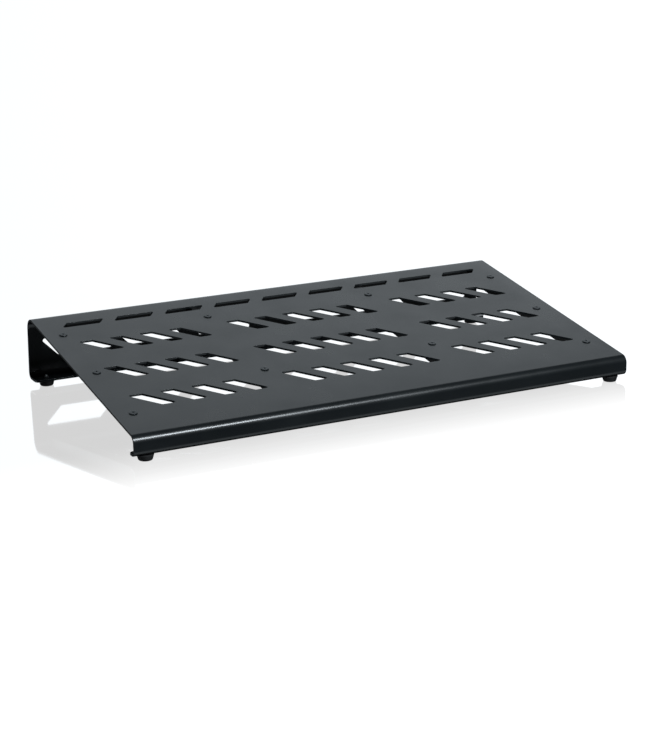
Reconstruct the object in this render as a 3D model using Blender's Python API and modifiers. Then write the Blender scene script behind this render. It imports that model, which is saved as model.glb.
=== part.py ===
"""Pedalboard for guitar effects: one bent sheet-metal deck on four ribs and four rubber feet.

The deck, the front lip and the rear wall are a single folded plate.  Metres, +Z up, +X to the
player's right, +Y to the rear.  The origin is at the middle of the footprint, on the floor.
"""

import math

import bmesh
import bpy
from mathutils import Matrix, Vector

# ---------------------------------------------------------------- driving dimensions
BOARD_WIDTH = 0.8128          # 32 in across
SHEET = 0.0032                # plate thickness
GAP = 0.0003                  # clearance between neighbouring pieces
DECK_ANGLE = math.radians(9.3)

# side view, outer face of the fold; y runs rearward from the rear edge of the deck
DECK_REAR_Z = 0.1089          # height of the deck plane at y = 0
WALL_TOP = (0.0160, 0.0900)   # two points on the outer face of the rear wall
WALL_FOOT = (0.0206, 0.0200)
LIP_TOP = (-0.4276, 0.0330)   # two points on the outer face of the front lip
LIP_FOOT = (-0.4276, 0.0160)
FLANGE_Z = 0.0092             # underside of both bottom flanges
REAR_FLANGE_END = -0.0130
FRONT_FLANGE_END = -0.4060
RADIUS_REAR_TOP = 0.0190      # outer bend radii
RADIUS_REAR_FOOT = 0.0100
RADIUS_LIP_TOP = 0.0120
RADIUS_LIP_FOOT = 0.0088
BEND_STEPS = 9
FLANGE_CORNER = 0.0070
SMOOTH_ANGLE = math.radians(35.0)

# three rows of slanted slots; the rib columns have none
SLOT_PITCH = 0.0481
SLOT_COLUMNS = 15
RIB_COLUMNS = (4, 10)
SLOT_WIDTH = 0.0232
SLOT_HEIGHT = 0.0424
SLOT_SHIFT = 0.0378           # how far the front end lies to the right of the rear end
SLOT_ROWS = (0.1062, 0.2062, 0.3069)      # rear end of each row, measured down the deck
SLOT_CORNER = 0.0025

# one row of cable slots along the rear edge
CABLE_SLOTS = 9
CABLE_PITCH = 0.0836
CABLE_LENGTH = 0.0605
CABLE_HEIGHT = 0.0156
CABLE_SHIFT = -0.0125
CABLE_ROW = 0.0329
CABLE_CORNER = 0.0025

# cut-outs in the rear wall, slanted like the deck slots
WINDOW_COUNT = 6
WINDOW_PITCH = 0.1205
WINDOW_GAP = 0.0500           # extra space between the third and the fourth
WINDOW_WIDTH = 0.0930
WINDOW_LOW, WINDOW_HIGH = 0.0418, 0.0710
WINDOW_SHIFT = 0.0290         # how far the low edge lies to the right of the high edge
WINDOW_CORNER = 0.0030

# ribs under the deck
RIB_WIDTH = 0.0200
RIB_DEPTH = 0.0205            # below the underside of the deck
RIB_SHEET = 0.0020
RIB_START, RIB_END = 0.0160, 0.4160
SIDE_RIB_X = 0.3789
INNER_RIB_X = 0.1425
SIDE_SCREWS = (0.0745, 0.2185, 0.3625)
INNER_SCREWS = (0.0783, 0.2890)

SCREW_RADIUS = 0.0025
SCREW_LENGTH = 0.0135
HEAD_RADIUS = 0.0063
HEAD_HEIGHT = 0.0018
HEAD_RIM = 0.0007             # straight part of the head's edge, and height of the socket's floor
SOCKET_RADIUS = 0.0017
EDGE_BREAK = 0.0005           # small chamfer on turned edges
ARC_STEPS = 4                 # facets in the quarter circles of turned profiles
NUT_FLATS = 0.0080
NUT_HEIGHT = 0.0040

FOOT_INSET_X = 0.0213
FRONT_FOOT_Y = -0.4138
REAR_FOOT_Y = 0.0005
FOOT_RADIUS_TOP = 0.0124
FOOT_RADIUS_BASE = 0.0106
FOOT_ROUND = 0.0024
FOOT_RECESS = 0.0046
FOOT_BORE = 0.0024
RECESS_DEPTH = 0.0045
FOOT_SCREW_RADIUS = 0.0020
FOOT_SCREW_TOP = 0.0172
FOOT_HEAD_RADIUS = 0.0038
FOOT_HEAD_HEIGHT = 0.0022
WASHER_RADIUS = 0.0043
WASHER_HEIGHT = 0.0008
FOOT_NUT_FLATS = 0.0070
FOOT_NUT_HEIGHT = 0.0022

# ---------------------------------------------------------------- scene and materials
for old in list(bpy.data.objects):
    bpy.data.objects.remove(old, do_unlink=True)

parts = bpy.data.collections.new("pedalboard")
cutters = bpy.data.collections.new("cutters")
bpy.context.scene.collection.children.link(parts)
bpy.context.scene.collection.children.link(cutters)


def make_material(name, colour, roughness, metallic):
    material = bpy.data.materials.new(name)
    material.use_nodes = True
    shader = material.node_tree.nodes["Principled BSDF"]
    shader.inputs["Base Color"].default_value = (*colour, 1.0)
    shader.inputs["Roughness"].default_value = roughness
    shader.inputs["Metallic"].default_value = metallic
    return material


DECK_PAINT = make_material("deck_powder_coat", (0.09, 0.10, 0.105), 0.45, 0.0)
RIB_PAINT = make_material("rib_powder_coat", (0.02, 0.02, 0.022), 0.55, 0.0)
RUBBER = make_material("foot_rubber", (0.012, 0.012, 0.013), 0.8, 0.0)
BLACK_STEEL = make_material("black_steel", (0.05, 0.053, 0.056), 0.4, 0.7)
ZINC = make_material("zinc_steel", (0.62, 0.63, 0.65), 0.3, 1.0)


def new_object(name, mesh, material, collection=parts):
    piece = bpy.data.objects.new(name, mesh)
    if material:
        mesh.materials.append(material)
    collection.objects.link(piece)
    if collection is cutters:
        piece.hide_render = True
        piece.display_type = "WIRE"
    return piece


def mesh_from(bm, name):
    mesh = bpy.data.meshes.new(name)
    bm.to_mesh(mesh)
    bm.free()
    mesh.shade_smooth()
    mesh.set_sharp_from_angle(angle=SMOOTH_ANGLE)
    return mesh


def subtract(piece, *tools):
    for tool in tools:
        cut = piece.modifiers.new(tool.name, "BOOLEAN")
        cut.operation = "DIFFERENCE"
        cut.solver = "EXACT"
        cut.object = tool


# ---------------------------------------------------------------- the fold, in side view
def meeting_point(a, b, c, d):
    """Where the line through a and b meets the line through c and d, in the side view."""
    a, b, c, d = Vector(a), Vector(b), Vector(c), Vector(d)
    along, across = b - a, d - c
    step = ((c - a).x * across.y - (c - a).y * across.x) / (along.x * across.y - along.y * across.x)
    return a + along * step


def rounded(corner, before, after, radius, steps):
    """Points of the arc that rounds a corner between two straight runs."""
    corner, before, after = Vector(corner), Vector(before), Vector(after)
    inward = (before - corner).normalized()
    outward = (after - corner).normalized()
    half = inward.angle(outward) / 2
    centre = corner + (inward + outward).normalized() * (radius / math.sin(half))
    start = corner + inward * (radius / math.tan(half)) - centre
    turn = start.angle_signed(corner + outward * (radius / math.tan(half)) - centre)
    # in the side view a positive signed angle is clockwise
    return [centre + Matrix.Rotation(-turn * i / steps, 2) @ start for i in range(steps + 1)]


def deck_z(y):
    """Height of the deck's top face at y, in the side view."""
    return DECK_REAR_Z + y * math.tan(DECK_ANGLE)


def fold_outline():
    """Outer face of the fold in the side view, from the rear flange over the deck to the front one."""
    deck_a, deck_b = (0.0, deck_z(0.0)), (-0.1, deck_z(-0.1))
    floor_a, floor_b = (0.0, FLANGE_Z), (-0.1, FLANGE_Z)
    rear_foot = meeting_point(WALL_TOP, WALL_FOOT, floor_a, floor_b)
    rear_top = meeting_point(WALL_TOP, WALL_FOOT, deck_a, deck_b)
    lip_top = meeting_point(LIP_TOP, LIP_FOOT, deck_a, deck_b)
    lip_foot = meeting_point(LIP_TOP, LIP_FOOT, floor_a, floor_b)
    rear_end = Vector((REAR_FLANGE_END, FLANGE_Z))
    front_end = Vector((FRONT_FLANGE_END, FLANGE_Z))
    path = [rear_end]
    path += rounded(rear_foot, rear_end, rear_top, RADIUS_REAR_FOOT, BEND_STEPS)
    path += rounded(rear_top, rear_foot, lip_top, RADIUS_REAR_TOP, BEND_STEPS)
    path += rounded(lip_top, rear_top, lip_foot, RADIUS_LIP_TOP, BEND_STEPS)
    path += rounded(lip_foot, lip_top, front_end, RADIUS_LIP_FOOT, BEND_STEPS)
    path.append(front_end)
    return path


FOLD = fold_outline()
CENTRE_Y = (min(point.x for point in FOLD) + max(point.x for point in FOLD)) / 2


def make_deck():
    """The folded plate: an open surface swept across the board, thickened inward."""
    bm = bmesh.new()
    row = [bm.verts.new((-BOARD_WIDTH / 2, y - CENTRE_Y, z)) for y, z in FOLD]
    edges = [bm.edges.new(pair) for pair in zip(row, row[1:])]
    swept = bmesh.ops.extrude_edge_only(bm, edges=edges)["geom"]
    far = [item for item in swept if isinstance(item, bmesh.types.BMVert)]
    bmesh.ops.translate(bm, verts=far, vec=(BOARD_WIDTH, 0.0, 0.0))
    corners = [vert for vert in bm.verts if len(vert.link_edges) == 2]
    bmesh.ops.bevel(bm, geom=corners, affect="VERTICES", offset=FLANGE_CORNER, segments=5, profile=0.5)
    bmesh.ops.recalc_face_normals(bm, faces=bm.faces)
    top_face = max(bm.faces, key=lambda face: face.calc_area())
    if top_face.normal.z < 0:
        bmesh.ops.reverse_faces(bm, faces=bm.faces)
    deck = new_object("deck_plate", mesh_from(bm, "deck_plate"), DECK_PAINT)
    wall = deck.modifiers.new("thickness", "SOLIDIFY")
    wall.thickness = SHEET
    wall.offset = -1.0
    wall.use_even_offset = True
    return deck


# ---------------------------------------------------------------- frames of reference
def deck_frame(x, down, depth=0.0):
    """Matrix of a point on the deck: x across, `down` the slope from its rear edge.

    Local X is across, local Y is up the slope, local Z stands out of the deck.
    """
    slope = Matrix.Rotation(DECK_ANGLE, 4, "X")
    top = Vector((x, -down * math.cos(DECK_ANGLE) - CENTRE_Y, DECK_REAR_Z - down * math.sin(DECK_ANGLE)))
    return Matrix.Translation(top) @ slope @ Matrix.Translation((0.0, 0.0, -depth))


def wall_frame(x, z):
    """Matrix of a point on the rear wall's outer face; local Z points out of the wall."""
    lean = (WALL_FOOT[0] - WALL_TOP[0]) / (WALL_TOP[1] - WALL_FOOT[1])
    y = WALL_FOOT[0] - (z - WALL_FOOT[1]) * lean
    tilt = Matrix.Rotation(math.atan(lean), 4, "X")
    face = Matrix.Rotation(math.radians(-90.0), 4, "X")
    return Matrix.Translation((x, y - CENTRE_Y, z)) @ tilt @ face


# ---------------------------------------------------------------- cutters for the plate
def add_slanted_prism(bm, frame, width, height, shift, depth, corner):
    """A prism on a parallelogram whose +Y edge lies `shift` to the right of its -Y edge."""
    made = bmesh.ops.create_cube(bm, size=1.0)["verts"]
    upright = [edge for edge in set().union(*[set(v.link_edges) for v in made])
               if abs(edge.verts[0].co.z - edge.verts[1].co.z) > 0.5]
    shear = Matrix.Identity(4)
    shear[0][1] = shift / height
    size = Matrix.Diagonal((width, height, depth, 1.0))
    bmesh.ops.transform(bm, matrix=shear @ size, verts=made)
    rounded_off = bmesh.ops.bevel(bm, geom=upright, affect="EDGES", offset=corner,
                                  segments=3, profile=0.5)["verts"]
    verts = list(set(rounded_off) | {v for v in made if v.is_valid})
    bmesh.ops.transform(bm, matrix=frame, verts=verts)


def make_slot_cutter():
    bm = bmesh.new()
    row_width = (SLOT_COLUMNS - 1) * SLOT_PITCH
    for rear in SLOT_ROWS:
        for column in range(SLOT_COLUMNS):
            if column in RIB_COLUMNS:
                continue
            x = column * SLOT_PITCH - row_width / 2
            frame = deck_frame(x, rear + SLOT_HEIGHT / 2)
            add_slanted_prism(bm, frame, SLOT_WIDTH, SLOT_HEIGHT, -SLOT_SHIFT, 4 * SHEET, SLOT_CORNER)
    for number in range(CABLE_SLOTS):
        x = (number - (CABLE_SLOTS - 1) / 2) * CABLE_PITCH
        frame = deck_frame(x, CABLE_ROW + CABLE_HEIGHT / 2)
        add_slanted_prism(bm, frame, CABLE_LENGTH, CABLE_HEIGHT, -CABLE_SHIFT, 4 * SHEET, CABLE_CORNER)
    return new_object("slot_cutter", mesh_from(bm, "slot_cutter"), None, cutters)


def window_x(number):
    """Middle of a rear-wall cut-out; the six are centred on the board as two groups of three."""
    offset = (number - (WINDOW_COUNT - 1) / 2) * WINDOW_PITCH
    side = 1.0 if number >= WINDOW_COUNT / 2 else -1.0
    return offset + side * WINDOW_GAP / 2


def make_window_cutter():
    bm = bmesh.new()
    height = WINDOW_HIGH - WINDOW_LOW
    middle = (WINDOW_HIGH + WINDOW_LOW) / 2
    for number in range(WINDOW_COUNT):
        frame = wall_frame(window_x(number), middle)
        add_slanted_prism(bm, frame, WINDOW_WIDTH, height, WINDOW_SHIFT, 4 * SHEET, WINDOW_CORNER)
    return new_object("window_cutter", mesh_from(bm, "window_cutter"), None, cutters)


def rib_places():
    """Name, x and screw positions of each rib, from left to right."""
    return (
        ("left", -SIDE_RIB_X, SIDE_SCREWS),
        ("inner_left", -INNER_RIB_X, INNER_SCREWS),
        ("inner_right", INNER_RIB_X, INNER_SCREWS),
        ("right", SIDE_RIB_X, SIDE_SCREWS),
    )


def foot_places():
    x = BOARD_WIDTH / 2 - FOOT_INSET_X
    front, rear = FRONT_FOOT_Y - CENTRE_Y, REAR_FOOT_Y - CENTRE_Y
    return (
        ("front_left", -x, front),
        ("front_right", x, front),
        ("rear_left", -x, rear),
        ("rear_right", x, rear),
    )


def add_drill(bm, frame, radius, length, sides=16):
    made = bmesh.ops.create_cone(bm, cap_ends=True, segments=sides, radius1=radius, radius2=radius,
                                 depth=length)["verts"]
    bmesh.ops.transform(bm, matrix=frame, verts=made)


def make_hole_cutter():
    """Clearance holes for the deck screws and the foot screws."""
    bm = bmesh.new()
    for _, x, screws in rib_places():
        for down in screws:
            add_drill(bm, deck_frame(x, down, SHEET), SCREW_RADIUS + GAP, 6 * SHEET)
    for _, x, y in foot_places():
        frame = Matrix.Translation((x, y, FLANGE_Z + SHEET / 2))
        add_drill(bm, frame, FOOT_SCREW_RADIUS + GAP, 3 * SHEET)
    return new_object("hole_cutter", mesh_from(bm, "hole_cutter"), None, cutters)


# ---------------------------------------------------------------- ribs
def make_rib(name, x, hole_cutter):
    """A shallow channel, open downward, lying against the underside of the deck."""
    bm = bmesh.new()
    half = RIB_WIDTH / 2
    section = ((-half, -RIB_DEPTH), (-half, 0.0), (half, 0.0), (half, -RIB_DEPTH))
    row = [bm.verts.new((across, -RIB_START, up)) for across, up in section]
    edges = [bm.edges.new(pair) for pair in zip(row, row[1:])]
    swept = bmesh.ops.extrude_edge_only(bm, edges=edges)["geom"]
    far = [item for item in swept if isinstance(item, bmesh.types.BMVert)]
    bmesh.ops.translate(bm, verts=far, vec=(0.0, RIB_START - RIB_END, 0.0))
    folds = [edge for edge in bm.edges if edge.is_manifold]
    bmesh.ops.bevel(bm, geom=folds, affect="EDGES", offset=RIB_SHEET, segments=3, profile=0.5)
    bmesh.ops.recalc_face_normals(bm, faces=bm.faces)
    top = max(bm.faces, key=lambda face: face.calc_center_median().z)
    if top.normal.z < 0:
        bmesh.ops.reverse_faces(bm, faces=bm.faces)
    rib = new_object("rib_" + name, mesh_from(bm, "rib_" + name), RIB_PAINT)
    rib.matrix_world = deck_frame(x, 0.0, SHEET + GAP)
    wall = rib.modifiers.new("thickness", "SOLIDIFY")
    wall.thickness = RIB_SHEET
    wall.offset = -1.0
    wall.use_even_offset = True
    subtract(rib, hole_cutter)
    return rib


# ---------------------------------------------------------------- turned pieces
def quarter_circle():
    """Cosine and sine along a quarter circle, from its start to its end."""
    angles = [math.radians(90.0 * i / ARC_STEPS) for i in range(ARC_STEPS + 1)]
    return [(math.cos(angle), math.sin(angle)) for angle in angles]


def turned(name, profile, material, steps=20):
    """A piece turned about local Z; the profile is (radius, z) from its top to its bottom."""
    bm = bmesh.new()
    verts = [bm.verts.new((radius, 0.0, z)) for radius, z in profile]
    for pair in zip(verts, verts[1:]):
        bm.edges.new(pair)
    mesh = bpy.data.meshes.new(name)
    bm.to_mesh(mesh)
    bm.free()
    piece = new_object(name, mesh, material)
    spin = piece.modifiers.new("turn", "SCREW")
    spin.axis = "Z"
    spin.steps = spin.render_steps = steps
    spin.use_merge_vertices = True
    spin.merge_threshold = 1e-6
    return piece


def make_deck_screw(name, x, down):
    """Low button-head screw with a blind socket in its head."""
    rim = GAP + HEAD_RIM
    profile = [(0.0, rim), (SOCKET_RADIUS, rim)]
    profile += [(SOCKET_RADIUS + (HEAD_RADIUS - SOCKET_RADIUS) * sine, rim + (HEAD_HEIGHT - HEAD_RIM) * cosine)
                for cosine, sine in quarter_circle()]
    profile += [(HEAD_RADIUS, GAP), (SCREW_RADIUS, GAP), (SCREW_RADIUS, EDGE_BREAK - SCREW_LENGTH),
                (SCREW_RADIUS - EDGE_BREAK, -SCREW_LENGTH), (0.0, -SCREW_LENGTH)]
    screw = turned(name, profile, BLACK_STEEL)
    screw.matrix_world = deck_frame(x, down)
    return screw


def make_nut(name, frame, flats, height, bore, material):
    """Plain hexagon nut, its lower face on the frame's origin."""
    bm = bmesh.new()
    radius = flats / 2 / math.cos(math.radians(30.0))
    bmesh.ops.create_cone(bm, cap_ends=True, segments=6, radius1=radius, radius2=radius, depth=height,
                          matrix=Matrix.Translation((0.0, 0.0, height / 2)))
    nut = new_object(name, mesh_from(bm, name), material)
    nut.matrix_world = frame
    drill = bmesh.new()
    add_drill(drill, Matrix.Translation((0.0, 0.0, height / 2)), bore, 2 * height)
    tool = new_object(name + "_bore", mesh_from(drill, name + "_bore"), None, cutters)
    tool.matrix_world = frame
    subtract(nut, tool)
    return nut


def make_foot(name, x, y):
    """Round rubber bumper with a stepped bore for its screw."""
    top = FLANGE_Z - GAP
    profile = [(FOOT_BORE, top), (FOOT_RADIUS_TOP - EDGE_BREAK, top), (FOOT_RADIUS_TOP, top - EDGE_BREAK)]
    profile += [(FOOT_RADIUS_BASE - FOOT_ROUND * (1 - cosine), FOOT_ROUND * (1 - sine))
                for cosine, sine in quarter_circle()]
    profile += [(FOOT_RECESS, 0.0), (FOOT_RECESS, RECESS_DEPTH), (FOOT_BORE, RECESS_DEPTH), (FOOT_BORE, top)]
    foot = turned(name, profile, RUBBER, steps=24)
    foot.location = (x, y, 0.0)
    return foot


def make_foot_screw(name, x, y):
    """Pan-head screw that comes up through the foot and the flange."""
    seat = RECESS_DEPTH - WASHER_HEIGHT - 2 * GAP
    low = seat - FOOT_HEAD_HEIGHT
    profile = [(0.0, FOOT_SCREW_TOP), (FOOT_SCREW_RADIUS - EDGE_BREAK, FOOT_SCREW_TOP),
               (FOOT_SCREW_RADIUS, FOOT_SCREW_TOP - EDGE_BREAK), (FOOT_SCREW_RADIUS, seat),
               (FOOT_HEAD_RADIUS, seat), (FOOT_HEAD_RADIUS, low + EDGE_BREAK),
               (FOOT_HEAD_RADIUS - EDGE_BREAK, low), (0.0, low)]
    screw = turned(name, profile, ZINC)
    screw.location = (x, y, 0.0)
    return screw


def make_foot_washer(name, x, y):
    """Flat washer between the screw head and the rubber."""
    high = RECESS_DEPTH - GAP
    low = high - WASHER_HEIGHT
    bore = FOOT_SCREW_RADIUS + GAP
    profile = [(bore, high), (WASHER_RADIUS, high), (WASHER_RADIUS, low), (bore, low), (bore, high)]
    washer = turned(name, profile, ZINC)
    washer.location = (x, y, 0.0)
    return washer


# ---------------------------------------------------------------- assembly
deck_plate = make_deck()
holes = make_hole_cutter()
subtract(deck_plate, make_slot_cutter(), make_window_cutter(), holes)

for rib_name, rib_x, screw_rows in rib_places():
    make_rib(rib_name, rib_x, holes)
    for index, distance in enumerate(screw_rows, start=1):
        label = f"{rib_name}_{index}"
        make_deck_screw("deck_screw_" + label, rib_x, distance)
        under = SHEET + GAP + RIB_SHEET + GAP + NUT_HEIGHT
        make_nut("deck_nut_" + label, deck_frame(rib_x, distance, under), NUT_FLATS, NUT_HEIGHT,
                 SCREW_RADIUS + GAP, ZINC)

for place, foot_x, foot_y in foot_places():
    make_foot("foot_" + place, foot_x, foot_y)
    make_foot_washer("foot_washer_" + place, foot_x, foot_y)
    make_foot_screw("foot_screw_" + place, foot_x, foot_y)
    on_flange = Matrix.Translation((foot_x, foot_y, FLANGE_Z + SHEET + GAP))
    make_nut("foot_nut_" + place, on_flange, FOOT_NUT_FLATS, FOOT_NUT_HEIGHT,
             FOOT_SCREW_RADIUS + GAP, ZINC)
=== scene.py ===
import math

import bmesh
import bpy
from mathutils import Matrix, Vector


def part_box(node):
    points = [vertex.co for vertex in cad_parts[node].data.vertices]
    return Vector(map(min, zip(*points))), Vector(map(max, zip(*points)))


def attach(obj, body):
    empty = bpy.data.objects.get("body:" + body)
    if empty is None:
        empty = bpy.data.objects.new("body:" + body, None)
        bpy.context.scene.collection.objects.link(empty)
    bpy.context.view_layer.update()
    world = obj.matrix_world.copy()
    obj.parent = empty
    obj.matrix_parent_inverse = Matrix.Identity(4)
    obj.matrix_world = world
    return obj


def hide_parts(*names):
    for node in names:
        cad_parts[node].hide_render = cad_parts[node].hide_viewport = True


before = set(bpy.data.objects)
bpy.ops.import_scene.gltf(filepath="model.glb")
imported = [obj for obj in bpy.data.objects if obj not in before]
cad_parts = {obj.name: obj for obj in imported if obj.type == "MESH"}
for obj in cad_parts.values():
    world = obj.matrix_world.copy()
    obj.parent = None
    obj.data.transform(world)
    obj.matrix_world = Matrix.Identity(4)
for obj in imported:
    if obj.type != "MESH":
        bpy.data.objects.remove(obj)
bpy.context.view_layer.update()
print("frame loaded:", len(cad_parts), "nodes")


def paintColour(hexCode):  # an sRGB hex value as the linear colour that a shader takes
    shares = [int(hexCode[i:i + 2], 16) / 255 for i in (1, 3, 5)]
    return [s / 12.92 if s <= 0.04045 else ((s + 0.055) / 1.055) ** 2.4 for s in shares] + [1.0]


def addNode(tree, kind, inputs=None, **settings):  # a node with its settings, values and links
    node = tree.nodes.new(kind)
    for name, value in settings.items():
        setattr(node, name, value)
    for key, value in (inputs or {}).items():
        if isinstance(value, bpy.types.NodeSocket):
            tree.links.new(value, node.inputs[key])
        else:
            node.inputs[key].default_value = value
    return node


def newMaterial(name):
    material = bpy.data.materials.new(name)
    material.use_nodes = True
    tree = material.node_tree
    tree.nodes.clear()
    return material, tree


def perMetre(millimetres):  # scale of a pattern whose features are this wide
    return 1000.0 / millimetres


# materials

powderCoat = {
    "dark": "#15181A",
    "light": "#1B1F21",
    "cloudSize": 70.0,        # mm, drift in the film's thickness
    "peelSize": 3.2,          # mm, orange peel; the real one is about 1 mm and would not show
    "peelHeight": 0.000007,
    "roughness": (0.27, 0.33),
}


def makePowderCoat(name, look):
    # polyester powder sprayed on sheet metal and baked: a satin skin, faintly pebbled, soft highlights
    material, tree = newMaterial(name)
    place = addNode(tree, "ShaderNodeTexCoord").outputs["Object"]
    cloud = addNode(tree, "ShaderNodeTexNoise", {"Vector": place, "Scale": perMetre(look["cloudSize"]),
                                                 "Detail": 3.0}).outputs["Fac"]
    peel = addNode(tree, "ShaderNodeTexNoise", {"Vector": place, "Scale": perMetre(look["peelSize"]),
                                                "Detail": 2.0}).outputs["Fac"]
    colour = addNode(tree, "ShaderNodeMix", {"Factor": cloud, "A": paintColour(look["dark"]),
                                             "B": paintColour(look["light"])}, data_type="RGBA")
    low, high = look["roughness"]
    rough = addNode(tree, "ShaderNodeMapRange", {"Value": cloud, "From Min": 0.35, "From Max": 0.65,
                                                 "To Min": low, "To Max": high}).outputs["Result"]
    bump = addNode(tree, "ShaderNodeBump", {"Height": peel, "Distance": look["peelHeight"],
                                            "Strength": 1.0}).outputs["Normal"]
    shader = addNode(tree, "ShaderNodeBsdfPrincipled", {
        "Base Color": colour.outputs["Result"], "Roughness": rough, "Normal": bump, "IOR": 1.5})
    addNode(tree, "ShaderNodeOutputMaterial", {"Surface": shader.outputs["BSDF"]})
    return material


ribCoat = {
    "dark": "#08090A",
    "light": "#0D0E0F",
    "cloudSize": 40.0,
    "peelSize": 3.2,
    "peelHeight": 0.000012,
    "roughness": (0.38, 0.46),
}

footRubber = {
    "dark": "#0A0A0B",
    "light": "#141415",
    "grainSize": 1.4,         # mm, spark-eroded mould grain, drawn about twice its real size
    "grainHeight": 0.00004,
    "bloomSize": 9.0,
    "roughness": (0.62, 0.8),
}


def makeFootRubber(name, look):
    # moulded nitrile rubber: dull black with a fine mould grain and a dusty bloom that blurs highlights
    material, tree = newMaterial(name)
    place = addNode(tree, "ShaderNodeTexCoord").outputs["Object"]
    grain = addNode(tree, "ShaderNodeTexNoise", {"Vector": place, "Scale": perMetre(look["grainSize"]),
                                                 "Detail": 4.0}).outputs["Fac"]
    bloom = addNode(tree, "ShaderNodeTexNoise", {"Vector": place, "Scale": perMetre(look["bloomSize"]),
                                                 "Detail": 2.0}).outputs["Fac"]
    colour = addNode(tree, "ShaderNodeMix", {"Factor": bloom, "A": paintColour(look["dark"]),
                                             "B": paintColour(look["light"])}, data_type="RGBA")
    low, high = look["roughness"]
    rough = addNode(tree, "ShaderNodeMapRange", {"Value": bloom, "From Min": 0.3, "From Max": 0.7,
                                                 "To Min": low, "To Max": high}).outputs["Result"]
    bump = addNode(tree, "ShaderNodeBump", {"Height": grain, "Distance": look["grainHeight"],
                                            "Strength": 0.6}).outputs["Normal"]
    shader = addNode(tree, "ShaderNodeBsdfPrincipled", {
        "Base Color": colour.outputs["Result"], "Roughness": rough, "Normal": bump, "IOR": 1.52})
    addNode(tree, "ShaderNodeOutputMaterial", {"Surface": shader.outputs["BSDF"]})
    return material


zincPlate = {
    "dark": "#B4B8BC",
    "light": "#D2D4D2",
    "spangleSize": 1.8,       # mm
    "roughness": (0.2, 0.36),
}

blackOxide = {
    "dark": "#24282B",
    "light": "#2C3134",
    "spangleSize": 2.5,
    "roughness": (0.3, 0.4),
}


def makePlatedSteel(name, look, metallic):
    # bright zinc gives a pale, slightly cloudy mirror; black oxide a dark oiled sheen on the same steel
    material, tree = newMaterial(name)
    place = addNode(tree, "ShaderNodeTexCoord").outputs["Object"]
    cells = addNode(tree, "ShaderNodeTexNoise", {"Vector": place, "Scale": perMetre(look["spangleSize"]),
                                                 "Detail": 3.0, "Distortion": 0.4}).outputs["Fac"]
    colour = addNode(tree, "ShaderNodeMix", {"Factor": cells, "A": paintColour(look["dark"]),
                                             "B": paintColour(look["light"])}, data_type="RGBA")
    low, high = look["roughness"]
    rough = addNode(tree, "ShaderNodeMapRange", {"Value": cells, "From Min": 0.3, "From Max": 0.7,
                                                 "To Min": low, "To Max": high}).outputs["Result"]
    shader = addNode(tree, "ShaderNodeBsdfPrincipled", {
        "Base Color": colour.outputs["Result"], "Roughness": rough, "Metallic": metallic})
    addNode(tree, "ShaderNodeOutputMaterial", {"Surface": shader.outputs["BSDF"]})
    return material


satinPowderCoat = makePowderCoat("satin polyester powder coat", powderCoat)
blackPowderCoat = makePowderCoat("black polyester powder coat", ribCoat)
mouldedRubber = makeFootRubber("moulded nitrile rubber", footRubber)
brightZinc = makePlatedSteel("bright zinc plated steel", zincPlate, 1.0)
oxideSteel = makePlatedSteel("black oxide steel", blackOxide, 0.35)
print("materials made")


# geometry node trees

def newTree(name, inputs):
    tree = bpy.data.node_groups.new(name, "GeometryNodeTree")
    for label, kind in inputs:
        tree.interface.new_socket(label, in_out="INPUT", socket_type="NodeSocket" + kind)
    tree.interface.new_socket("Result", in_out="OUTPUT", socket_type="NodeSocketGeometry")
    return tree, addNode(tree, "NodeGroupInput").outputs


def closeTree(tree, geometry, material):  # every tree ends in real geometry with its finish on it
    real = addNode(tree, "GeometryNodeRealizeInstances", {"Geometry": geometry}).outputs[0]
    painted = addNode(tree, "GeometryNodeSetMaterial", {"Geometry": real, "Material": material}).outputs[0]
    addNode(tree, "NodeGroupOutput", {0: painted})


def foldedSheetTree():  # an outline with a bend radius at each corner, run out sideways into a folded sheet
    tree, source = newTree("folded sheet", (("Outline", "Geometry"), ("Bend Facets", "Int"),
                                            ("Run", "Vector"), ("Finish", "Material")))
    radius = addNode(tree, "GeometryNodeInputNamedAttribute", {"Name": "bendRadius"}, data_type="FLOAT")
    line = addNode(tree, "GeometryNodeMeshToCurve", {"Mesh": source["Outline"]}).outputs[0]
    bent = addNode(tree, "GeometryNodeFilletCurve", {"Curve": line, "Count": source["Bend Facets"],
                                                     "Radius": radius.outputs[0]}, mode="POLY").outputs[0]
    edge = addNode(tree, "GeometryNodeCurveToMesh", {"Curve": bent}).outputs[0]
    sheet = addNode(tree, "GeometryNodeExtrudeMesh", {"Mesh": edge, "Offset": source["Run"],
                                                      "Offset Scale": 1.0}, mode="EDGES").outputs[0]
    closeTree(tree, sheet, source["Finish"])
    return tree


cutCornerFacets = 5
weldDistance = 0.00001        # metres


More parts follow.
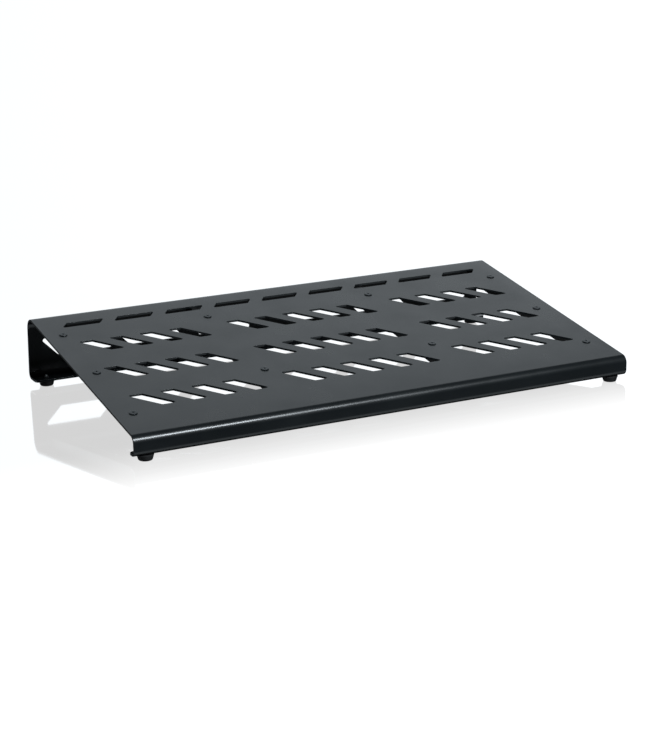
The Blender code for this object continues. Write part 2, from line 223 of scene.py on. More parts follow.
def slantedCutsTree():  # rows of slanted prisms, in groups, for punching slots and cut-outs
    tree, source = newTree("slanted cuts", (
        ("Columns", "Int"), ("Rows", "Int"), ("Column Pitch", "Float"), ("Row Pitch", "Float"),
        ("Group Pitch", "Int"), ("Group Start", "Int"), ("Middle Gap", "Float"),
        ("Length", "Float"), ("Height", "Float"), ("Shift", "Float"), ("Corner", "Float"),
        ("Depth", "Float"), ("Finish", "Material")))

    index = addNode(tree, "GeometryNodeInputIndex").outputs[0]
    columns = source["Columns"]
    column = addNode(tree, "ShaderNodeMath", {0: index, 1: columns}, operation="MODULO").outputs[0]
    turns = addNode(tree, "ShaderNodeMath", {0: index, 1: columns}, operation="DIVIDE").outputs[0]
    row = addNode(tree, "ShaderNodeMath", {0: turns}, operation="FLOOR").outputs[0]
    last = addNode(tree, "ShaderNodeMath", {0: columns, 1: 1.0}, operation="SUBTRACT").outputs[0]
    centre = addNode(tree, "ShaderNodeMath", {0: last, 1: 0.5}, operation="MULTIPLY").outputs[0]
    fromMiddle = addNode(tree, "ShaderNodeMath", {0: column, 1: centre}, operation="SUBTRACT").outputs[0]
    across = addNode(tree, "ShaderNodeMath", {0: fromMiddle, 1: source["Column Pitch"]},
                     operation="MULTIPLY").outputs[0]
    side = addNode(tree, "ShaderNodeMath", {0: fromMiddle}, operation="SIGN").outputs[0]
    halfGap = addNode(tree, "ShaderNodeMath", {0: source["Middle Gap"], 1: 0.5},
                      operation="MULTIPLY").outputs[0]
    outward = addNode(tree, "ShaderNodeMath", {0: side, 1: halfGap, 2: across},
                      operation="MULTIPLY_ADD").outputs[0]
    downward = addNode(tree, "ShaderNodeMath", {0: row, 1: -1.0}, operation="MULTIPLY").outputs[0]
    down = addNode(tree, "ShaderNodeMath", {0: downward, 1: source["Row Pitch"]},
                   operation="MULTIPLY").outputs[0]
    spot = addNode(tree, "ShaderNodeCombineXYZ", {"X": outward, "Y": down}).outputs[0]
    count = addNode(tree, "ShaderNodeMath", {0: columns, 1: source["Rows"]}, operation="MULTIPLY").outputs[0]
    points = addNode(tree, "GeometryNodePoints", {"Count": count, "Position": spot}).outputs[0]
    started = addNode(tree, "ShaderNodeMath", {0: column, 1: source["Group Start"]},
                      operation="ADD").outputs[0]
    inGroup = addNode(tree, "ShaderNodeMath", {0: started, 1: source["Group Pitch"]},
                      operation="MODULO").outputs[0]
    # the first place of each group stays solid, over a rib
    kept = addNode(tree, "ShaderNodeMath", {0: inGroup, 1: 0.5}, operation="GREATER_THAN").outputs[0]
    shape = addNode(tree, "GeometryNodeCurvePrimitiveQuadrilateral", {
        "Width": source["Length"], "Height": source["Height"], "Offset": source["Shift"]},
        mode="PARALLELOGRAM").outputs[0]
    eased = addNode(tree, "GeometryNodeFilletCurve", {"Curve": shape, "Count": cutCornerFacets,
                                                      "Radius": source["Corner"]}, mode="POLY").outputs[0]
    face = addNode(tree, "GeometryNodeFillCurve", {"Curve": eased}, mode="NGONS").outputs[0]
    below = addNode(tree, "ShaderNodeMath", {0: source["Depth"], 1: -0.5}, operation="MULTIPLY").outputs[0]
    sunk = addNode(tree, "ShaderNodeCombineXYZ", {"Z": below}).outputs[0]
    base = addNode(tree, "GeometryNodeTransform", {"Geometry": face, "Translation": sunk}).outputs[0]
    rise = addNode(tree, "ShaderNodeCombineXYZ", {"Z": source["Depth"]}).outputs[0]
    walls = addNode(tree, "GeometryNodeExtrudeMesh", {"Mesh": base, "Offset": rise, "Offset Scale": 1.0,
                                                      "Individual": False}, mode="FACES").outputs[0]
    floor = addNode(tree, "GeometryNodeFlipFaces", {"Mesh": base}).outputs[0]
    joined = addNode(tree, "GeometryNodeJoinGeometry", {0: walls})
    tree.links.new(floor, joined.inputs[0])
    prism = addNode(tree, "GeometryNodeMergeByDistance", {"Geometry": joined.outputs[0],
                                                          "Distance": weldDistance}).outputs[0]
    cuts = addNode(tree, "GeometryNodeInstanceOnPoints", {"Points": points, "Selection": kept,
                                                          "Instance": prism}).outputs[0]
    closeTree(tree, cuts, source["Finish"])
    return tree


def placedCopiesTree():  # one copy of a piece on each point, tilted with the deck, each turned its own way
    tree, source = newTree("placed copies", (
        ("Places", "Geometry"), ("Piece", "Object"), ("Tilt", "Float"), ("Turn Range", "Float"),
        ("Seed", "Int"), ("Finish", "Material")))
    piece = addNode(tree, "GeometryNodeObjectInfo", {"Object": source["Piece"]}).outputs["Geometry"]
    tilt = addNode(tree, "ShaderNodeCombineXYZ", {"X": source["Tilt"]}).outputs[0]
    copies = addNode(tree, "GeometryNodeInstanceOnPoints", {
        "Points": source["Places"], "Instance": piece, "Rotation": tilt}).outputs[0]
    turn = addNode(tree, "FunctionNodeRandomValue", {2: 0.0, 3: source["Turn Range"],
                                                     "Seed": source["Seed"]}, data_type="FLOAT").outputs[1]
    aboutAxis = addNode(tree, "ShaderNodeCombineXYZ", {"Z": turn}).outputs[0]
    turned = addNode(tree, "GeometryNodeRotateInstances", {"Instances": copies, "Rotation": aboutAxis,
                                                           "Local Space": True}).outputs[0]
    closeTree(tree, turned, source["Finish"])
    return tree


sheetTree = foldedSheetTree()
cutsTree = slantedCutsTree()
copiesTree = placedCopiesTree()


def newPiece(name, mesh):
    piece = bpy.data.objects.new(name, mesh)
    bpy.context.scene.collection.objects.link(piece)
    return piece


def runTree(piece, tree, values):  # inputs are set by identifier before the piece is first evaluated
    step = piece.modifiers.new(tree.name, "NODES")
    step.node_group = tree
    sockets = {item.name: item.identifier for item in tree.interface.items_tree if item.in_out == "INPUT"}
    for label, value in values.items():
        step[sockets[label]] = value


def freeze(piece):  # the evaluated shape becomes a plain mesh at the origin, and the modifiers go
    bpy.context.view_layer.update()
    graph = bpy.context.evaluated_depsgraph_get()
    mesh = bpy.data.meshes.new_from_object(piece.evaluated_get(graph), preserve_all_data_layers=True,
                                           depsgraph=graph)
    mesh.transform(piece.matrix_world)
    mesh.name = piece.name
    piece.modifiers.clear()
    piece.data = mesh
    piece.matrix_world = Matrix.Identity(4)
    return piece


def paint(piece, material):
    piece.data.materials.clear()
    piece.data.materials.append(material)
    return piece


def polyline(points, radii):  # an outline whose corners carry their bend radius
    mesh = bpy.data.meshes.new("outline")
    mesh.from_pydata(points, [(i, i + 1) for i in range(len(points) - 1)], [])
    mesh.attributes.new("bendRadius", "FLOAT", "POINT").data.foreach_set("value", radii)
    return mesh


def softenEdges(piece, width, segments=2):
    bevel = piece.modifiers.new("edges", "BEVEL")
    bevel.width = width
    bevel.segments = segments
    bevel.limit_method = "ANGLE"
    bevel.angle_limit = math.radians(40.0)
    bevel.miter_outer = "MITER_ARC"
    bevel.harden_normals = True


def thicken(piece, thickness):
    wall = piece.modifiers.new("wall", "SOLIDIFY")
    wall.thickness = thickness
    wall.offset = -1.0
    wall.use_even_offset = True


def cutWith(piece, tool):
    cut = piece.modifiers.new("cut", "BOOLEAN")
    cut.operation = "DIFFERENCE"
    cut.solver = "EXACT"
    cut.object = tool


def smooth(mesh, angle=32.0):
    mesh.shade_smooth()
    mesh.set_sharp_from_angle(angle=math.radians(angle))


# the folded plate

plate = {                     # metres; side view heights and depths as y from the deck's rear edge
    "width": 0.8128,
    "thickness": 0.0032,
    "slope": math.radians(9.3),
    "rearHeight": 0.1089,
    "wallTop": (0.0160, 0.0900),
    "wallFoot": (0.0206, 0.0200),
    "lipTop": (-0.4276, 0.0330),
    "lipFoot": (-0.4276, 0.0160),
    "flangeHeight": 0.0092,
    "rearFlangeEnd": -0.0130,
    "frontFlangeEnd": -0.4060,
    "bends": (0.0100, 0.0190, 0.0120, 0.0088),
    "bendFacets": 20,
    "flangeCorner": 0.0070,
    "cornerFacets": 10,
    "edgeRound": 0.00045,     # the coat rounds every cut edge
}
# Length runs across the board, Height up the slope or the wall, and Shift moves an opening's upper side
# along x, which slants it
deckSlots = {"Columns": 15, "Rows": 3, "Column Pitch": 0.0481, "Row Pitch": 0.10035, "Group Pitch": 6,
             "Group Start": 2, "Middle Gap": 0.0, "Length": 0.0232, "Height": 0.0424, "Shift": -0.0378,
             "Corner": 0.0025, "Depth": 0.0130}
slotRow = 0.1062              # rear end of the first row, down the slope
cableSlots = {"Columns": 9, "Rows": 1, "Column Pitch": 0.0836, "Row Pitch": 0.1, "Group Pitch": 99,
              "Group Start": 1, "Middle Gap": 0.0, "Length": 0.0605, "Height": 0.0156, "Shift": 0.0125,
              "Corner": 0.0025, "Depth": 0.0130}
cableRow = 0.0329
rearCutOuts = {"Columns": 6, "Rows": 1, "Column Pitch": 0.1205, "Row Pitch": 0.1, "Group Pitch": 99,
               "Group Start": 1, "Middle Gap": 0.0500, "Length": 0.0930, "Height": 0.0292,
               "Shift": 0.0290, "Corner": 0.0030, "Depth": 0.0130}
cutOutMiddle = 0.0564

slopeSin = math.sin(plate["slope"])
slopeCos = math.cos(plate["slope"])
deckNormal = Vector((0.0, -slopeSin, slopeCos))


def crossing(a, b, c, d):  # where line ab meets line cd, in the side view
    a, b, c, d = Vector(a), Vector(b), Vector(c), Vector(d)
    along, other = b - a, d - c
    return a + along * ((c - a).cross(other) / along.cross(other))


def foldCorners():
    deckLine = ((0.0, plate["rearHeight"]), (-slopeCos, plate["rearHeight"] - slopeSin))
    flangeLine = ((0.0, plate["flangeHeight"]), (-1.0, plate["flangeHeight"]))
    wallLine = (plate["wallTop"], plate["wallFoot"])
    lipLine = (plate["lipTop"], plate["lipFoot"])
    return [Vector((plate["rearFlangeEnd"], plate["flangeHeight"])),
            crossing(*wallLine, *flangeLine), crossing(*wallLine, *deckLine),
            crossing(*lipLine, *deckLine), crossing(*lipLine, *flangeLine),
            Vector((plate["frontFlangeEnd"], plate["flangeHeight"]))]


def makePlateSheet():
    points = [(-plate["width"] / 2, corner.x, corner.y) for corner in foldCorners()]
    piece = newPiece("folded_deck", polyline(points, (0.0, *plate["bends"], 0.0)))
    runTree(piece, sheetTree, {"Bend Facets": plate["bendFacets"], "Run": (plate["width"], 0.0, 0.0),
                               "Finish": satinPowderCoat})
    return freeze(piece)


deckSheet = makePlateSheet()
ys = [vertex.co.y for vertex in deckSheet.data.vertices]
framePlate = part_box("deck_plate")
# how far the side view's y = 0 lies from the board's own, so that the fold is centred on the frame's plate
boardY = (framePlate[0].y + framePlate[1].y) / 2 - (min(ys) + max(ys)) / 2
deckSheet.data.transform(Matrix.Translation((0.0, boardY, 0.0)))


def roundFlangeCorners(mesh):
    bm = bmesh.new()
    bm.from_mesh(mesh)
    corners = [vert for vert in bm.verts if len(vert.link_edges) == 2]
    bmesh.ops.bevel(bm, geom=corners, affect="VERTICES", offset=plate["flangeCorner"],
                    segments=plate["cornerFacets"], profile=0.5)
    bmesh.ops.recalc_face_normals(bm, faces=bm.faces)
    widest = max(bm.faces, key=lambda face: face.calc_area())
    if widest.normal.z < 0:
        bmesh.ops.reverse_faces(bm, faces=bm.faces)
    bm.to_mesh(mesh)
    bm.free()
    smooth(mesh)


def onDeck(x, down, depth=0.0):  # the deck's own axes at a point of it, x across and y up the slope
    spot = Vector((x, boardY - down * slopeCos, plate["rearHeight"] - down * slopeSin))
    return Matrix.Translation(spot - deckNormal * depth) @ Matrix.Rotation(plate["slope"], 4, "X")


def onWall(height):  # the rear wall's own axes, x across and z out of the wall
    top, foot = plate["wallTop"], plate["wallFoot"]
    lean = (foot[0] - top[0]) / (top[1] - foot[1])
    spot = Vector((0.0, boardY + foot[0] - (height - foot[1]) * lean, height))
    turn = Matrix.Rotation(math.atan(lean) - math.radians(90.0), 4, "X")
    return Matrix.Translation(spot) @ turn


def makeCutter(name, values, matrix):
    cutter = newPiece(name, bpy.data.meshes.new(name))
    runTree(cutter, cutsTree, {**values, "Finish": satinPowderCoat})
    cutter.matrix_world = matrix
    return freeze(cutter)


screwNodes = sorted(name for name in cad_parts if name.startswith("deck_screw_"))
footNodes = sorted(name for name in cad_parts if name.startswith("foot_") and name.count("_") == 2)


def middle(name):
    low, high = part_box(name)
    return (low + high) / 2


def screwSeat(name):  # where a deck screw's axis meets the deck's top face
    centre = middle(name.replace("screw", "nut"))
    origin = onDeck(0.0, 0.0).translation
    return centre - deckNormal * (centre - origin).dot(deckNormal)


screwSeats = {name: screwSeat(name) for name in screwNodes}
footSpots = {name: Vector((middle(name).x, middle(name).y, 0.0)) for name in footNodes}
holes = {"screw": 0.0028, "foot": 0.0023, "sides": 40, "length": 0.020}


def makeHoleCutter():
    bm = bmesh.new()
    tilt = Matrix.Rotation(plate["slope"], 4, "X")
    for seat in screwSeats.values():
        bmesh.ops.create_cone(bm, cap_ends=True, segments=holes["sides"], radius1=holes["screw"],
                              radius2=holes["screw"], depth=holes["length"],
                              matrix=Matrix.Translation(seat) @ tilt)
    for spot in footSpots.values():
        raised = spot + Vector((0.0, 0.0, plate["flangeHeight"]))
        bmesh.ops.create_cone(bm, cap_ends=True, segments=holes["sides"], radius1=holes["foot"],
                              radius2=holes["foot"], depth=holes["length"],
                              matrix=Matrix.Translation(raised))
    mesh = bpy.data.meshes.new("drills")
    bm.to_mesh(mesh)
    bm.free()
    return newPiece("drills", mesh)


roundFlangeCorners(deckSheet.data)
drills = makeHoleCutter()
slotMiddle = slotRow + deckSlots["Height"] / 2
cutters = [makeCutter("slot_cuts", deckSlots, onDeck(0.0, slotMiddle)),
           makeCutter("cable_cuts", cableSlots, onDeck(0.0, cableRow + cableSlots["Height"] / 2)),
           makeCutter("rear_cuts", rearCutOuts, onWall(cutOutMiddle)), drills]
thicken(deckSheet, plate["thickness"])
for cutter in cutters:
    cutWith(deckSheet, cutter)
softenEdges(deckSheet, plate["edgeRound"])
paint(freeze(deckSheet), satinPowderCoat)
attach(deckSheet, "root")
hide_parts("deck_plate")
print("folded deck made:", len(deckSheet.data.polygons), "faces")


# ribs

rib = {
    "width": 0.0200,
    "depth": 0.0205,
    "thickness": 0.0020,
    "bend": 0.0020,
    "bendFacets": 6,
    "start": 0.0160,          # down the slope from the deck's rear edge
    "end": 0.4160,
    "seatGap": 0.0003,
    "edgeRound": 0.0003,
}


def facedUp(mesh):  # a folded sheet's faces turned outwards, judged by its highest one
    bm = bmesh.new()
    bm.from_mesh(mesh)
    bmesh.ops.recalc_face_normals(bm, faces=bm.faces)
    if max(bm.faces, key=lambda face: face.calc_center_median().z).normal.z < 0:
        bmesh.ops.reverse_faces(bm, faces=bm.faces)
    bm.to_mesh(mesh)
    bm.free()
    smooth(mesh)


def makeRib(node):
    half = rib["width"] / 2
    section = ((-half, 0.0, -rib["depth"]), (-half, 0.0, 0.0), (half, 0.0, 0.0), (half, 0.0, -rib["depth"]))
    piece = newPiece(node.replace("rib_", "channel_rib_"),
                     polyline(section, (0.0, rib["bend"], rib["bend"], 0.0)))
    runTree(piece, sheetTree, {"Bend Facets": rib["bendFacets"],
                               "Run": (0.0, rib["start"] - rib["end"], 0.0), "Finish": blackPowderCoat})
    piece.matrix_world = (onDeck(middle(node).x, 0.0, plate["thickness"] + rib["seatGap"])
                          @ Matrix.Translation((0.0, -rib["start"], 0.0)))
    facedUp(freeze(piece).data)
    thicken(piece, rib["thickness"])
    cutWith(piece, drills)
    softenEdges(piece, rib["edgeRound"])
    paint(freeze(piece), blackPowderCoat)
    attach(piece, "root")
    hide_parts(node)


ribNodes = sorted(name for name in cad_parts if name.startswith("rib_"))
for ribNode in ribNodes:
    makeRib(ribNode)
print("ribs made:", len(ribNodes))


# turned and threaded pieces

def ringMesh(name, rings, closed):  # a skin over rings of points; closed joins the last ring to the first
    bm = bmesh.new()
    rows = [[bm.verts.new(point) for point in ring] for ring in rings]
    pairs = list(zip(rows, rows[1:])) + ([(rows[-1], rows[0])] if closed else [])
    for one, two in pairs:
        for i in range(len(one)):
            j = (i + 1) % len(one)
            bm.faces.new((one[i], one[j], two[j], two[i]))
    if not closed:
        bm.faces.new(rows[0])
        bm.faces.new(rows[-1])
    bmesh.ops.recalc_face_normals(bm, faces=bm.faces)
    mesh = bpy.data.meshes.new(name)
    bm.to_mesh(mesh)
    bm.free()
    smooth(mesh)
    return mesh


poleRadius = 0.0001           # a turned piece's skin is closed by a face this small on its axis


def ring(radius, z, sides):
    return [(radius * math.cos(2 * math.pi * i / sides), radius * math.sin(2 * math.pi * i / sides), z)
            for i in range(sides)]


def turnedMesh(name, profile, sides=64, closed=False):  # profile is (radius, height) along the skin
    return ringMesh(name, [ring(radius, z, sides) for radius, z in profile], closed)


def arcPoints(centre, radius, start, end, steps):  # part of a circle in a turned profile, in degrees
    angles = [math.radians(start + (end - start) * i / steps) for i in range(steps + 1)]
    return [(centre[0] + radius * math.cos(a), centre[1] + radius * math.sin(a)) for a in angles]


def threadedMesh(name, radius, pitch, low, high, sides=24, stepsPerTurn=8):  # run out at both ends
    depth = 0.6 * pitch       # of a metric thread
    rings = []
    count = int((high - low) / pitch * stepsPerTurn)
    for k in range(count + 1):
        z = low + (high - low) * k / count
        runOut = min(1.0, (z - low) / pitch, (high - z) / pitch)
        row = []
        for i in range(sides):
            turn = (z / pitch - i / sides) % 1.0
            ridge = abs(2 * turn - 1)
            reach = radius - depth * (1 - ridge * runOut)
            angle = 2 * math.pi * i / sides
            row.append((reach * math.cos(angle), reach * math.sin(angle), z))
        rings.append(row)
    return ringMesh(name, rings, False)


def joinMeshes(name, meshes):
    bm = bmesh.new()
    for mesh in meshes:
        bm.from_mesh(mesh)
    joined = bpy.data.meshes.new(name)
    bm.to_mesh(joined)
    bm.free()
    smooth(joined)
    return joined


def nutMesh(name, flats, height, bore):  # hexagon with both faces chamfered, a countersunk bore
    sides = 72
    chamfer = 0.12 * flats
    chamferSlope = 1.73       # thirty degrees

    def outline(z):
        limit = flats / 2 + min(z, height - z) * chamferSlope
        points = []
        for i in range(sides):
            angle = 2 * math.pi * i / sides
            fromFlat = (angle + math.pi / 6) % (math.pi / 3) - math.pi / 6
            reach = min(flats / 2 / math.cos(fromFlat), limit)
            points.append((reach * math.cos(angle), reach * math.sin(angle), z))
        return points

    lift = [chamfer * k / 4 for k in range(5)]
    sink = 0.0004
    heights = lift + [height - z for z in reversed(lift)]
    rings = [ring(bore + sink, 0.0, sides)] + [outline(z) for z in heights]
    rings += [ring(bore + sink, height, sides), ring(bore, height - sink, sides), ring(bore, sink, sides)]
    return ringMesh(name, rings, True)


def placeCopies(name, nodeNames, spots, mesh, material, tilt=0.0, turnRange=0.0, seed=0):
    master = newPiece(name + "_master", mesh)
    places = bpy.data.meshes.new(name + "_places")
    places.from_pydata([tuple(spot) for spot in spots], [], [])
    piece = newPiece(name, places)
    runTree(piece, copiesTree, {"Piece": master, "Tilt": tilt, "Turn Range": turnRange, "Seed": seed,
                                "Finish": material})
    paint(freeze(piece), material)
    bpy.data.objects.remove(master)
    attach(piece, "root")
    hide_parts(*nodeNames)
    print(name, "placed:", len(nodeNames))
    return piece


screw = {
    "headRadius": 0.0063,
    "headHeight": 0.0010,
    "rim": 0.0005,
    "flatTop": 0.0052,
    "domeFacets": 12,
    "seatGap": 0.0003,
    "socketFlats": 0.0029,
    "socketDepth": 0.0020,
    "neck": 0.0014,           # plain shank under the head
    "overlap": 0.0004,        # of the thread with the neck
    "radius": 0.0025,
    "pitch": 0.0008,
    "length": 0.0135,
    "edgeRound": 0.00012,
}


def screwMesh():  # low button head with a hexagon socket, threaded below
    low = screw["seatGap"]
    top = low + screw["headHeight"]
    rise = screw["headHeight"] - screw["rim"]
    flatTop = screw["flatTop"]
    dome = []
    for k in range(screw["domeFacets"] + 1):
        angle = math.radians(90.0 * k / screw["domeFacets"])
        reach = (screw["headRadius"] - flatTop) * math.sin(angle)
        dome.append((flatTop + reach, top - rise * (1 - math.cos(angle))))
    undercut = 0.0002
    profile = [(poleRadius, top), (flatTop * 0.5, top)] + dome
    profile += [(screw["headRadius"] - undercut, low), (screw["radius"], low)]
    profile += [(screw["radius"], -screw["neck"]), (poleRadius, -screw["neck"])]
    head = newPiece("head", turnedMesh("head", profile, sides=48))
    socketRadius = screw["socketFlats"] / 1.732  # from across the flats to the corners
    bm = bmesh.new()
    bmesh.ops.create_cone(bm, cap_ends=True, segments=6, radius1=socketRadius, radius2=socketRadius,
                          depth=2 * screw["socketDepth"], matrix=Matrix.Translation((0.0, 0.0, top)))
    key = newPiece("key", bpy.data.meshes.new("key"))
    bm.to_mesh(key.data)
    bm.free()
    cutWith(head, key)
    softenEdges(head, screw["edgeRound"])
    freeze(head)
    shank = threadedMesh("shank", screw["radius"], screw["pitch"], -screw["length"],
                         screw["overlap"] - screw["neck"])
    mesh = joinMeshes("deck_screw", [head.data, shank])
    for scrap in (head, key):
        bpy.data.objects.remove(scrap)
    return mesh


seats = [screwSeats[name] for name in screwNodes]
placeCopies("deck_screws", screwNodes, seats, screwMesh(), oxideSteel,
            tilt=plate["slope"], turnRange=math.radians(60.0), seed=4)

nut = {"flats": 0.0080, "height": 0.0040, "bore": 0.0028}
nutNodes = [name.replace("screw", "nut") for name in screwNodes]
nutSpots = [middle(name) - deckNormal * (nut["height"] / 2) for name in nutNodes]
placeCopies("deck_nuts", nutNodes, nutSpots, nutMesh("deck_nut", nut["flats"], nut["height"], nut["bore"]),
            brightZinc, tilt=plate["slope"])

foot = {
    "topRadius": 0.0124,
    "baseRadius": 0.0106,
    "top": 0.0089,
    "topRound": 0.0007,
    "baseRound": 0.0024,
    "recess": 0.0046,
    "recessDepth": 0.0045,
    "mouth": 0.0004,          # the break of the recess's edge
    "bore": 0.0024,
}


def footMesh():  # a turned skin, from the bore's top outward, down the side and up into the recess
    topCentre = (foot["topRadius"] - foot["topRound"], foot["top"] - foot["topRound"])
    baseCentre = (foot["baseRadius"] - foot["baseRound"], foot["baseRound"])
    profile = [(foot["bore"], foot["top"])]
    profile += arcPoints(topCentre, foot["topRound"], 90.0, 0.0, 6)
    profile += arcPoints(baseCentre, foot["baseRound"], 0.0, -90.0, 10)
    profile += [(foot["recess"] + foot["mouth"], 0.0), (foot["recess"], foot["mouth"])]
    profile += [(foot["recess"], foot["recessDepth"]), (foot["bore"], foot["recessDepth"])]
    return turnedMesh("foot", profile, sides=72, closed=True)


footOrder = [footSpots[name] for name in footNodes]
placeCopies("rubber_feet", footNodes, footOrder, footMesh(), mouldedRubber)

footScrew = {
    "radius": 0.0020,
    "pitch": 0.0007,
    "top": 0.0172,
    "seat": 0.0031,           # height of the head's bearing face over the floor
    "overlap": 0.0004,
    "headRadius": 0.0038,
    "headHeight": 0.0022,
    "headRound": 0.0010,
    "crossWidth": 0.0008,
    "crossLength": 0.0040,
    "crossDepth": 0.0012,
    "edgeRound": 0.0001,
}


def footScrewMesh():  # pan head with a cross recess, facing the floor
    low = footScrew["seat"] - footScrew["headHeight"]
    rim = footScrew["headRound"]
    profile = [(poleRadius, footScrew["seat"]), (footScrew["headRadius"], footScrew["seat"])]
    profile += arcPoints((footScrew["headRadius"] - rim, low + rim), rim, 0.0, -90.0, 6)
    profile += [(poleRadius, low)]
    head = newPiece("head", turnedMesh("head", profile, sides=40))
    length, width, depth = footScrew["crossLength"], footScrew["crossWidth"], 2 * footScrew["crossDepth"]
    bm = bmesh.new()
    for sizes in ((length, width), (width, length)):
        shape = Matrix.Translation((0.0, 0.0, low)) @ Matrix.Diagonal((*sizes, depth, 1.0))
        bmesh.ops.create_cube(bm, size=1.0, matrix=shape)
    key = newPiece("key", bpy.data.meshes.new("key"))
    bm.to_mesh(key.data)
    bm.free()
    cutWith(head, key)
    head.modifiers[-1].use_self = True
    softenEdges(head, footScrew["edgeRound"])
    freeze(head)
    shank = threadedMesh("shank", footScrew["radius"], footScrew["pitch"],
                         footScrew["seat"] - footScrew["overlap"], footScrew["top"])
    mesh = joinMeshes("foot_screw", [head.data, shank])
    for scrap in (head, key):
        bpy.data.objects.remove(scrap)
    return mesh


footParts = {kind: [name.replace("foot_", f"foot_{kind}_") for name in footNodes]
             for kind in ("screw", "washer", "nut")}
placeCopies("foot_screws", footParts["screw"], footOrder, footScrewMesh(), brightZinc,
            turnRange=math.radians(90.0), seed=7)

washer = {"radius": 0.0043, "bore": 0.0023, "low": 0.0034, "high": 0.0042, "edge": 0.0001}


def washerMesh():  # stamped, so its edges are slightly rolled
    r, b, low, high, edge = (washer[key] for key in ("radius", "bore", "low", "high", "edge"))
    profile = [(b + edge, high), (r - edge, high), (r, high - edge), (r, low + edge), (r - edge, low),
               (b + edge, low), (b, low + edge), (b, high - edge)]
    return turnedMesh("washer", profile, sides=48, closed=True)


placeCopies("foot_washers", footParts["washer"], footOrder, washerMesh(), brightZinc)

footNut = {"flats": 0.0070, "height": 0.0022, "bore": 0.0023}
footNutSpots = [spot + Vector((0.0, 0.0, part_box(name)[0].z))
                for spot, name in zip(footOrder, footParts["nut"])]
placeCopies("foot_nuts", footParts["nut"], footNutSpots,
            nutMesh("foot_nut", footNut["flats"], footNut["height"], footNut["bore"]), brightZinc,
            turnRange=math.radians(60.0), seed=3)

for cutter in cutters:
    bpy.data.objects.remove(cutter)


# studio

studio = {
    "floorSize": 60.0,
    "floorColour": "#FFFFFF",
    "floorGlow": 1.365,
    "mirror": 0.52,           # share of the floor's light that is reflection
    "mirrorFade": (-0.52, -0.12),  # where in y it begins to show and is whole
    "mirrorRoughness": 0.05,
    "rear": 1.04,             # brightness of the lit sweep behind the board
    "front": 0.035,           # and of the dark room behind the camera
    "edge": (0.42, 0.74),     # how far round to the rear the sweep's soft edge begins and ends
    "sideEdge": (0.25, 0.65),  # where the sweep is dimmest on the left and brightest on the right
    "leftShare": 0.70,
    "horizon": (-0.12, 0.04),
    "belowShare": 0.12,       # what is left of the sweep below the horizon
    "cards": (                # round white cards, low on the left for the bright metal's glints
        {"way": (-0.94, 0.24, -0.24), "edge": (0.94, 0.98), "glow": 2.4},
        # and low in front, for the lip's foot
        {"way": (0.43, -0.51, -0.75), "edge": (0.90, 0.97), "glow": 0.75},
    ),
    "tint": "#EDF6FC",
}


def makeFloor():
    bm = bmesh.new()
    bmesh.ops.create_grid(bm, x_segments=1, y_segments=1, size=studio["floorSize"] / 2)
    mesh = bpy.data.meshes.new("studio_floor")
    bm.to_mesh(mesh)
    bm.free()
    floor = newPiece("studio_floor", mesh)
    material, tree = newMaterial("lit white acrylic")  # glowing sheet: pale without shadow, faintly mirrored
    glow = addNode(tree, "ShaderNodeEmission", {"Color": paintColour(studio["floorColour"]),
                                                "Strength": studio["floorGlow"]})
    mirror = addNode(tree, "ShaderNodeBsdfGlossy", {"Color": paintColour(studio["floorColour"]),
                                                    "Roughness": studio["mirrorRoughness"]})
    place = addNode(tree, "ShaderNodeTexCoord").outputs["Object"]
    parts = addNode(tree, "ShaderNodeSeparateXYZ", {"Vector": place}).outputs
    near, far = studio["mirrorFade"]
    share = addNode(tree, "ShaderNodeMapRange", {"Value": parts["Y"], "From Min": near, "From Max": far,
                                                 "To Min": 0.0, "To Max": studio["mirror"]},
                    interpolation_type="SMOOTHSTEP").outputs["Result"]
    blend = addNode(tree, "ShaderNodeMixShader", {0: share, 1: glow.outputs[0], 2: mirror.outputs[0]})
    addNode(tree, "ShaderNodeOutputMaterial", {"Surface": blend.outputs[0]})
    paint(floor, material)
    floor.visible_diffuse = False  # the floor shows white, but throws no light on the board
    floor.visible_glossy = False


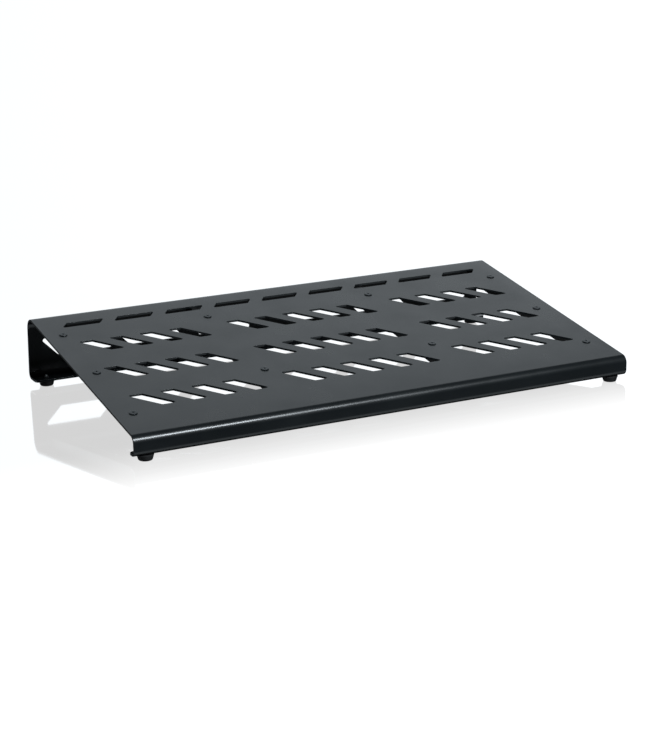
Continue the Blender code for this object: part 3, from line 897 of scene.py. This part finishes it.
def makeWorld():  # a lit sweep behind the board that fades into a dark room in front of it
    world = bpy.data.worlds.new("studio")
    bpy.context.scene.world = world
    world.use_nodes = True
    tree = world.node_tree
    tree.nodes.clear()
    way = addNode(tree, "ShaderNodeTexCoord").outputs["Generated"]
    parts = addNode(tree, "ShaderNodeSeparateXYZ", {"Vector": way}).outputs
    low, high = studio["edge"]
    rearward = addNode(tree, "ShaderNodeMapRange", {
        "Value": parts["Y"], "From Min": low, "From Max": high, "To Min": studio["front"],
        "To Max": studio["rear"]}, interpolation_type="SMOOTHSTEP").outputs["Result"]
    left, right = studio["sideEdge"]
    sideways = addNode(tree, "ShaderNodeMapRange", {
        "Value": parts["X"], "From Min": left, "From Max": right, "To Min": studio["leftShare"],
        "To Max": 1.0}).outputs["Result"]
    sweep = addNode(tree, "ShaderNodeMath", {0: rearward, 1: sideways}, operation="MULTIPLY").outputs[0]
    lower, upper = studio["horizon"]
    above = addNode(tree, "ShaderNodeMapRange", {
        "Value": parts["Z"], "From Min": lower, "From Max": upper, "To Min": studio["belowShare"],
        "To Max": 1.0}, interpolation_type="SMOOTHSTEP").outputs["Result"]
    strength = addNode(tree, "ShaderNodeMath", {0: sweep, 1: above}, operation="MULTIPLY").outputs[0]
    for card in studio["cards"]:
        towards = addNode(tree, "ShaderNodeVectorMath", {0: way, 1: card["way"]},
                          operation="DOT_PRODUCT").outputs["Value"]
        outside, inside = card["edge"]
        shine = addNode(tree, "ShaderNodeMapRange", {
            "Value": towards, "From Min": outside, "From Max": inside, "To Min": 0.0,
            "To Max": card["glow"]}, interpolation_type="SMOOTHSTEP").outputs["Result"]
        strength = addNode(tree, "ShaderNodeMath", {0: strength, 1: shine}, operation="ADD").outputs[0]
    glow = addNode(tree, "ShaderNodeBackground", {"Color": paintColour(studio["tint"]),
                                                  "Strength": strength})
    addNode(tree, "ShaderNodeOutputWorld", {"Surface": glow.outputs[0]})


lipStrip = {                  # a narrow softbox high in front, for the line of light along the lip's bend
    "place": (0.30, -1.90, 1.52),
    "aim": (-0.25, -0.22, 0.03),
    "size": (1.0, 0.22),
    "brightness": 84.0,
}


def addSoftbox(name, look):
    lamp = bpy.data.lights.new(name, "AREA")
    lamp.shape = "RECTANGLE"
    lamp.size, lamp.size_y = look["size"]
    lamp.energy = look["brightness"] * math.pi * lamp.size * lamp.size_y
    lamp.color = paintColour(studio["tint"])[:3]
    box = bpy.data.objects.new(name, lamp)
    place, aim = Vector(look["place"]), Vector(look["aim"])
    box.location = place
    box.rotation_euler = (aim - place).to_track_quat("-Z", "Y").to_euler()
    bpy.context.scene.collection.objects.link(box)


camera = {
    "place": (-1.2575, -2.4930, 0.8231),
    "aim": (-0.0019, 0.0, 0.0120),
    "roll": math.radians(-0.87),
    "lens": 89.84,            # mm, on a sensor 36 mm wide
}


def makeCamera():
    lens = bpy.data.cameras.new("camera")
    lens.lens = camera["lens"]
    lens.sensor_width = 36.0
    lens.clip_end = 200.0
    eye = bpy.data.objects.new("camera", lens)
    look = (Vector(camera["aim"]) - Vector(camera["place"])).to_track_quat("-Z", "Y").to_matrix().to_4x4()
    eye.matrix_world = Matrix.Translation(camera["place"]) @ look @ Matrix.Rotation(camera["roll"], 4, "Z")
    bpy.context.scene.collection.objects.link(eye)
    bpy.context.scene.camera = eye


makeFloor()
makeWorld()
makeCamera()
addSoftbox("lip strip", lipStrip)
bpy.context.scene.view_settings.view_transform = "Standard"
print("studio set")
